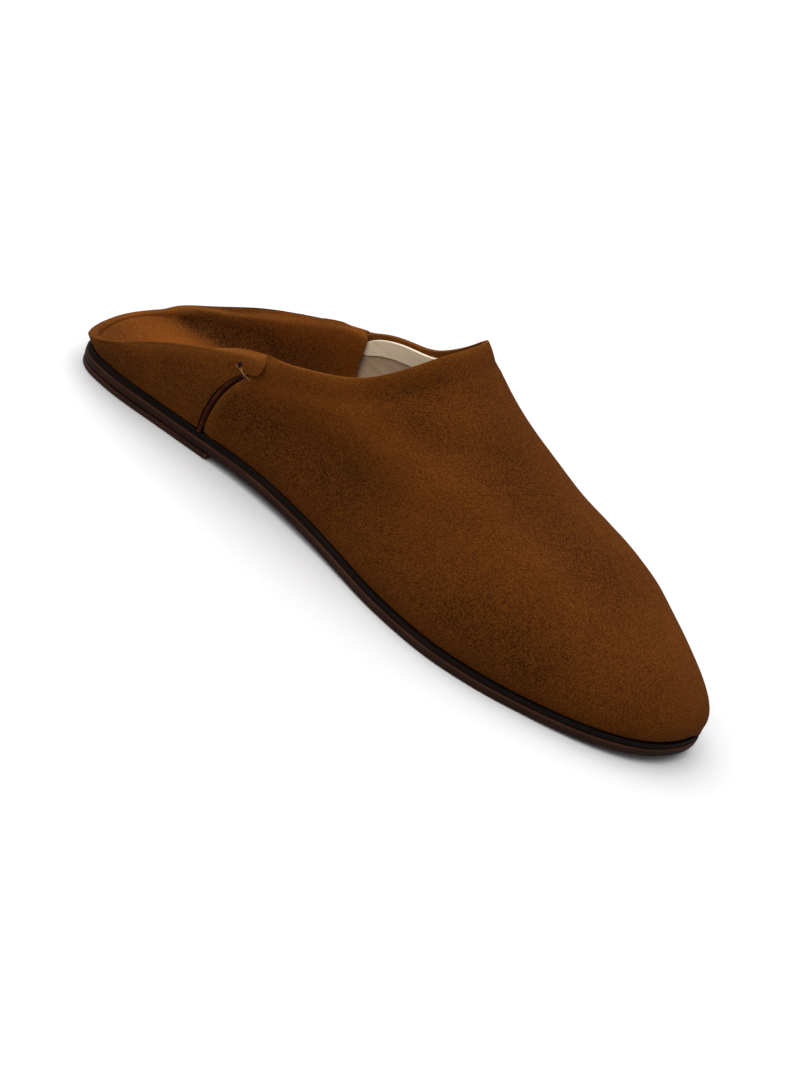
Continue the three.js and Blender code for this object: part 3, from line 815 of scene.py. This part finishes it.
# %% The nap group
MOTTLE_SHARE = 0.14
MOTTLE_BUMP = 0.8
nap_tree, given, result = new_group(
    "suede_nap", {"Patches": 30.0, "Mottle": 330.0, "Fibre": 2200.0}, ("Patch", "Speckle", "Height"))
place = given.outputs["Position"]
patch = noise_node(nap_tree, place, given.outputs["Patches"], 1, 0.4)
mottle = noise_node(nap_tree, place, given.outputs["Mottle"], 5, 0.7, (0.8, 1, 1))
fibre = noise_node(nap_tree, place, given.outputs["Fibre"], 2, 0.7, (0.7, 1, 1))
nap_tree.links.new(range_node(nap_tree, patch, 0.2, 0.8), result.inputs["Patch"])
speckle = math_node(nap_tree, "ADD", math_node(nap_tree, "MULTIPLY", mottle, MOTTLE_SHARE),
                    math_node(nap_tree, "MULTIPLY", fibre, 1 - MOTTLE_SHARE))
nap_tree.links.new(range_node(nap_tree, speckle, 0.36, 0.64), result.inputs["Speckle"])
raised_mottle = math_node(nap_tree, "MULTIPLY", mottle, MOTTLE_BUMP)
nap_tree.links.new(math_node(nap_tree, "ADD", fibre, raised_mottle), result.inputs["Height"])
print("nodes in the nap group:", len(nap_tree.nodes))

# %% [markdown]
# ### Leather grain
# Smooth leather has a fine net of pores and wrinkles. Voronoi cells give the net, and a stretched noise gives
# the streaks that sanding and ink leave along a cut edge.

# %% The grain group
grain_tree, given, result = new_group("leather_grain", {"Pores": 900.0, "Streaks": 160.0}, ("Tone", "Height"))
cells = grain_tree.nodes.new("ShaderNodeTexVoronoi")
cells.feature = "DISTANCE_TO_EDGE"
grain_tree.links.new(given.outputs["Position"], cells.inputs["Vector"])
grain_tree.links.new(given.outputs["Pores"], cells.inputs["Scale"])
streaks = noise_node(grain_tree, given.outputs["Position"], given.outputs["Streaks"], 4, 0.6, (0.25, 0.25, 3))
grain_tree.links.new(range_node(grain_tree, streaks, 0.3, 0.7), result.inputs["Tone"])
net = range_node(grain_tree, cells.outputs["Distance"], 0.0, 0.25)
grain_tree.links.new(math_node(grain_tree, "ADD", net, streaks), result.inputs["Height"])
print("nodes in the grain group:", len(grain_tree.nodes))

# %% [markdown]
# ### Putting a material together
# Every material starts the same way: its own Principled shader with its constants set, and the position on
# the object. Groups, mixes, bump and stored attributes are then linked in, a line for each.

# %% Put a material together
def new_material(name, roughness, **constants):
    """A material with its shader and the position of each point on the object."""
    material = bpy.data.materials.new(name)
    material.use_nodes = True
    tree = material.node_tree
    shader = tree.nodes["Principled BSDF"]
    shader.inputs["Roughness"].default_value = roughness
    for label, value in constants.items():
        shader.inputs[label.replace("_", " ")].default_value = value
    position = tree.nodes.new("ShaderNodeTexCoord").outputs["Object"]
    return material, tree, shader, position


def use_group(tree, group, position, **values):
    """Puts a shared group into a material and sets its inputs."""
    node = tree.nodes.new("ShaderNodeGroup")
    node.node_tree = group
    tree.links.new(position, node.inputs["Position"])
    for label, value in values.items():
        node.inputs[label].default_value = value
    return node


def mixed(tree, factor, first, second):
    """Mixes two colours; each may be a plain colour or a socket."""
    node = tree.nodes.new("ShaderNodeMix")
    node.data_type = "RGBA"
    sockets = (node.inputs["Factor"], node.inputs[6], node.inputs[7])
    for socket, value in zip(sockets, (factor, first, second)):
        if isinstance(value, tuple):
            socket.default_value = value
        else:
            tree.links.new(value, socket)
    return node.outputs[2]


def bump(tree, shader, height, strength, distance):
    """Raises the surface in its shading alone; distance is in millimetres."""
    node = tree.nodes.new("ShaderNodeBump")
    node.inputs["Strength"].default_value = strength
    node.inputs["Distance"].default_value = distance * MM
    tree.links.new(height, node.inputs["Height"])
    tree.links.new(node.outputs["Normal"], shader.inputs["Normal"])


def attribute(tree, name):
    """A number stored on the mesh."""
    node = tree.nodes.new("ShaderNodeAttribute")
    node.attribute_name = name
    return node.outputs["Fac"]


print("shared groups:", nap_tree.name, "and", grain_tree.name)

# %% [markdown]
# ### The suede of the upper
# One brown runs from a deep tone, for pressed nap and painted shade, to a warm one, for standing nap and
# painted light. The stored tone picks the place between them, and the slow patches shift it a little. A
# speckle of dark and pale fibres lies over that, and a paler brown along edges, partly rubbed and partly a
# painted highlight.

# %% Suede
PATCH_SHIFT = 0.22
SHADE_SHARE = 0.2
TIPS_SHARE = 0.34
RUB_AND_HIGHLIGHT_SHARE = 0.5


def suede(name, deep, warm, shade, tips, rubbed_and_lit, patches):
    """Suede between a deep and a warm tone, with shaded and pale fibres, and edges paled by rubbing and a
    painted highlight.
    """
    material, tree, shader, position = new_material(
        name, 0.95, Sheen_Weight=0.06, Sheen_Roughness=0.4, Sheen_Tint=colour(200, 120, 50),
        Specular_IOR_Level=0.06)
    nap = use_group(tree, nap_tree, position, Patches=patches)
    drift = math_node(tree, "MULTIPLY", math_node(tree, "SUBTRACT", nap.outputs["Patch"], 0.5),
                      PATCH_SHIFT)
    tone = math_node(tree, "ADD", attribute(tree, "nap_and_painted_light"), drift)
    base = mixed(tree, tone, deep, warm)
    lying = math_node(tree, "SUBTRACT", 1.0, nap.outputs["Speckle"])
    darker = math_node(tree, "MULTIPLY", lying, SHADE_SHARE)
    lighter = math_node(tree, "MULTIPLY", nap.outputs["Speckle"], TIPS_SHARE)
    speckled = mixed(tree, lighter, mixed(tree, darker, base, shade), tips)
    # Along the edges the suede turns paler: partly rubbed, partly a painted highlight.
    rub_and_highlight = math_node(tree, "MULTIPLY", attribute(tree, "edge"), RUB_AND_HIGHLIGHT_SHARE)
    worn_and_highlit = mixed(tree, rub_and_highlight, speckled, rubbed_and_lit)
    tree.links.new(worn_and_highlit, shader.inputs["Base Color"])
    bump(tree, shader, nap.outputs["Height"], 0.9, 0.45)
    return material


vamp_suede = suede("brown_suede", deep=colour(46, 18, 3), warm=colour(108, 55, 12),
                   shade=colour(42, 16, 2), tips=colour(156, 90, 30), rubbed_and_lit=colour(140, 84, 32),
                   patches=30.0)
# The heel's deep and warm tones lie further apart than the vamp's, for the painted shade on its walls and the
# painted light on its flap.
heel_suede = suede("brown_suede_heel", deep=colour(31, 10, 4), warm=colour(140, 74, 20),
                   shade=colour(38, 13, 2), tips=colour(158, 92, 32), rubbed_and_lit=colour(140, 84, 34),
                   patches=40.0)
print("suedes:", vamp_suede.name, "and", heel_suede.name)

# %% [markdown]
# ### The smooth leathers
# Lining, sole, lift and piping are the smooth side of leather. They differ in tone, in how fine their streaks
# are and how much they shine, so one function makes them all. Where the mesh stores a rim, a second colour
# is mixed in there: the knife's pale line, the insole's dark side or the lift's cut end.

# %% Smooth leathers
def leather(name, dark, light, roughness, streaks=160.0, depth=0.06, rim=None, **constants):
    """Smooth leather from a dark to a light tone; rim is the colour of its stored rim, if it has one."""
    material, tree, shader, position = new_material(name, roughness, **constants)
    grain = use_group(tree, grain_tree, position, Streaks=streaks)
    tone = mixed(tree, grain.outputs["Tone"], dark, light)
    if rim:
        tone = mixed(tree, attribute(tree, "rim"), tone, rim)
    tree.links.new(tone, shader.inputs["Base Color"])
    bump(tree, shader, grain.outputs["Height"], 0.5, depth)
    return material


lining_leather = leather("cream_lining", colour(172, 146, 118), colour(186, 162, 134), 0.7, depth=0.03)
facing_leather = leather("cream_facing", colour(236, 216, 184), colour(248, 232, 204), 0.65, depth=0.03)
sock_leather = leather("cream_insole", colour(176, 150, 120), colour(192, 168, 138), 0.7, depth=0.03,
                       rim=colour(44, 22, 12))
sole_edge = leather("dark_sole_edge", colour(30, 12, 6), colour(50, 24, 13), 0.6, rim=colour(78, 44, 26),
                    Specular_IOR_Level=0.2)
# The midsole's edge is near-black partly from its ink and partly as painted shade: it stands for the shadow
# in the gap under the upper.
midsole_edge = leather("black_midsole_edge", colour(12, 6, 4), colour(26, 13, 8), 0.6,
                       Specular_IOR_Level=0.15)
lift_edge = leather("lift_edge", colour(42, 20, 12), colour(66, 34, 22), 0.55, streaks=220.0,
                    rim=colour(96, 60, 42), Specular_IOR_Level=0.2)
piping_leather = leather("piping_leather", colour(46, 17, 8), colour(80, 34, 18), 0.85,
                         Specular_IOR_Level=0.1)
thread = leather("pale_thread", colour(128, 92, 56), colour(158, 122, 84), 0.8, Specular_IOR_Level=0.1)
print("materials in the file, with the CAD model's own:", len(bpy.data.materials))

# %% [markdown]
# ## Hand each piece over
# Each soft piece hides the CAD solid it stands for, moves with the one body, and gets its own material.

# %% Materials and bodies
def hand_over(piece, material, slot, *cad_nodes):
    """Gives a piece its material, its body and the CAD nodes it hides; slot is not used."""
    piece.data.materials.clear()
    piece.data.materials.append(material)
    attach(piece, "root")
    if cad_nodes:
        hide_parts(*cad_nodes)
    print(piece.name, "is made of", material.name)


hand_over(vamp, vamp_suede, "suede", "vamp")
hand_over(heel, heel_suede, "suede", "heel_quarter")
hand_over(lining, lining_leather, "insole_leather")
hand_over(facing, facing_leather, "insole_leather")
hand_over(insole, sock_leather, "insole_leather", "insole")
hand_over(midsole, midsole_edge, "midsole_leather", "midsole")
hand_over(outsole, sole_edge, "sole_leather", "outsole")
hand_over(lift_piece, lift_edge, "sole_leather", "heel_lift")
hand_over(pipings[0], piping_leather, "piping_leather", "piping_lateral")
hand_over(pipings[1], piping_leather, "piping_leather", "piping_medial")
for tack_knot, tack_threads in tacks:
    hand_over(tack_knot, midsole_edge, "midsole_leather")
    hand_over(tack_threads, thread, "insole_leather")

# %% [markdown]
# ## Studio
# The slipper stands on a plain pale floor that runs out of sight. One large soft light hangs above, a little
# towards the heel, so that the upward faces are bright and the sides fall into soft shade. The floor throws
# less light back than it shows, which keeps the sole's edge dark.

# %% Floor, world and light
FLOOR_SIZE = 12.0
FLOOR_SEEN = (0.86, 0.86, 0.86, 1.0)
FLOOR_BOUNCE = (0.42, 0.41, 0.4, 1.0)
LIGHT_FROM = (-0.25, -0.12, 0.95)
LIGHT_STRENGTH = 3.1
LIGHT_SPREAD = 90
FILL = 0.3


def pale_floor():
    """A wide floor that looks paler than it shines."""
    form = bmesh.new()
    bmesh.ops.create_grid(form, x_segments=1, y_segments=1, size=FLOOR_SIZE)
    floor = as_object(form, "floor")
    material, tree, shader, _ = new_material("pale_floor", 0.9)
    rays = tree.nodes.new("ShaderNodeLightPath")
    seen = mixed(tree, rays.outputs["Is Camera Ray"], FLOOR_BOUNCE, FLOOR_SEEN)
    tree.links.new(seen, shader.inputs["Base Color"])
    floor.data.materials.append(material)


def soft_sun(name, source, strength, spread):
    """A light without falloff, from a direction, as soft as its spread in degrees."""
    lamp = bpy.data.lights.new(name, "SUN")
    lamp.energy = strength
    lamp.angle = math.radians(spread)
    holder = bpy.data.objects.new(name, lamp)
    holder.rotation_euler = Vector(source).to_track_quat("Z", "Y").to_euler()
    bpy.context.scene.collection.objects.link(holder)


def studio_world(fill, seen):
    """White all round: it lights the shoe at the strength fill and looks as bright as seen."""
    world = bpy.data.worlds.new("studio")
    world.use_nodes = True
    tree = world.node_tree
    rays = tree.nodes.new("ShaderNodeLightPath")
    strength = tree.nodes.new("ShaderNodeMix")
    for socket, value in zip(strength.inputs[2:4], (fill, seen)):
        socket.default_value = value
    tree.links.new(rays.outputs["Is Camera Ray"], strength.inputs[0])
    tree.nodes["Background"].inputs["Color"].default_value = (1, 1, 1, 1)
    tree.links.new(strength.outputs[0], tree.nodes["Background"].inputs["Strength"])
    bpy.context.scene.world = world


pale_floor()
soft_sun("overhead", LIGHT_FROM, LIGHT_STRENGTH, LIGHT_SPREAD)
studio_world(FILL, 1.0)
bpy.context.scene.view_settings.view_transform = "Standard"
print("lights:", len(bpy.data.lights), "and a white world at", FILL)

# %% [markdown]
# ## Camera
# The camera looks from the outer side, from a little ahead of the shoe and about thirty degrees above it,
# rolled so that the toe points down to the right. Its right and back directions are written out, because a
# roll is easier to see that way than as angles.

# %% Camera
CAMERA_PLACE = mm(227.9, -601.6, 369.8)
CAMERA_RIGHT = Vector((0.7655, 0.5148, 0.3859))
CAMERA_BACK = Vector((0.3012, -0.8168, 0.4921))
LENS = 68.4

lens = bpy.data.cameras.new("camera")
lens.lens = LENS
camera = bpy.data.objects.new("camera", lens)
back = CAMERA_BACK.normalized()
right = (CAMERA_RIGHT - back * CAMERA_RIGHT.dot(back)).normalized()
turn = Matrix((right, back.cross(right), back)).transposed()
camera.matrix_world = Matrix.Translation(CAMERA_PLACE) @ turn.to_4x4()
bpy.context.scene.collection.objects.link(camera)
bpy.context.scene.camera = camera
print("camera to the shoe's middle:", round(CAMERA_PLACE.length, 3), "m")
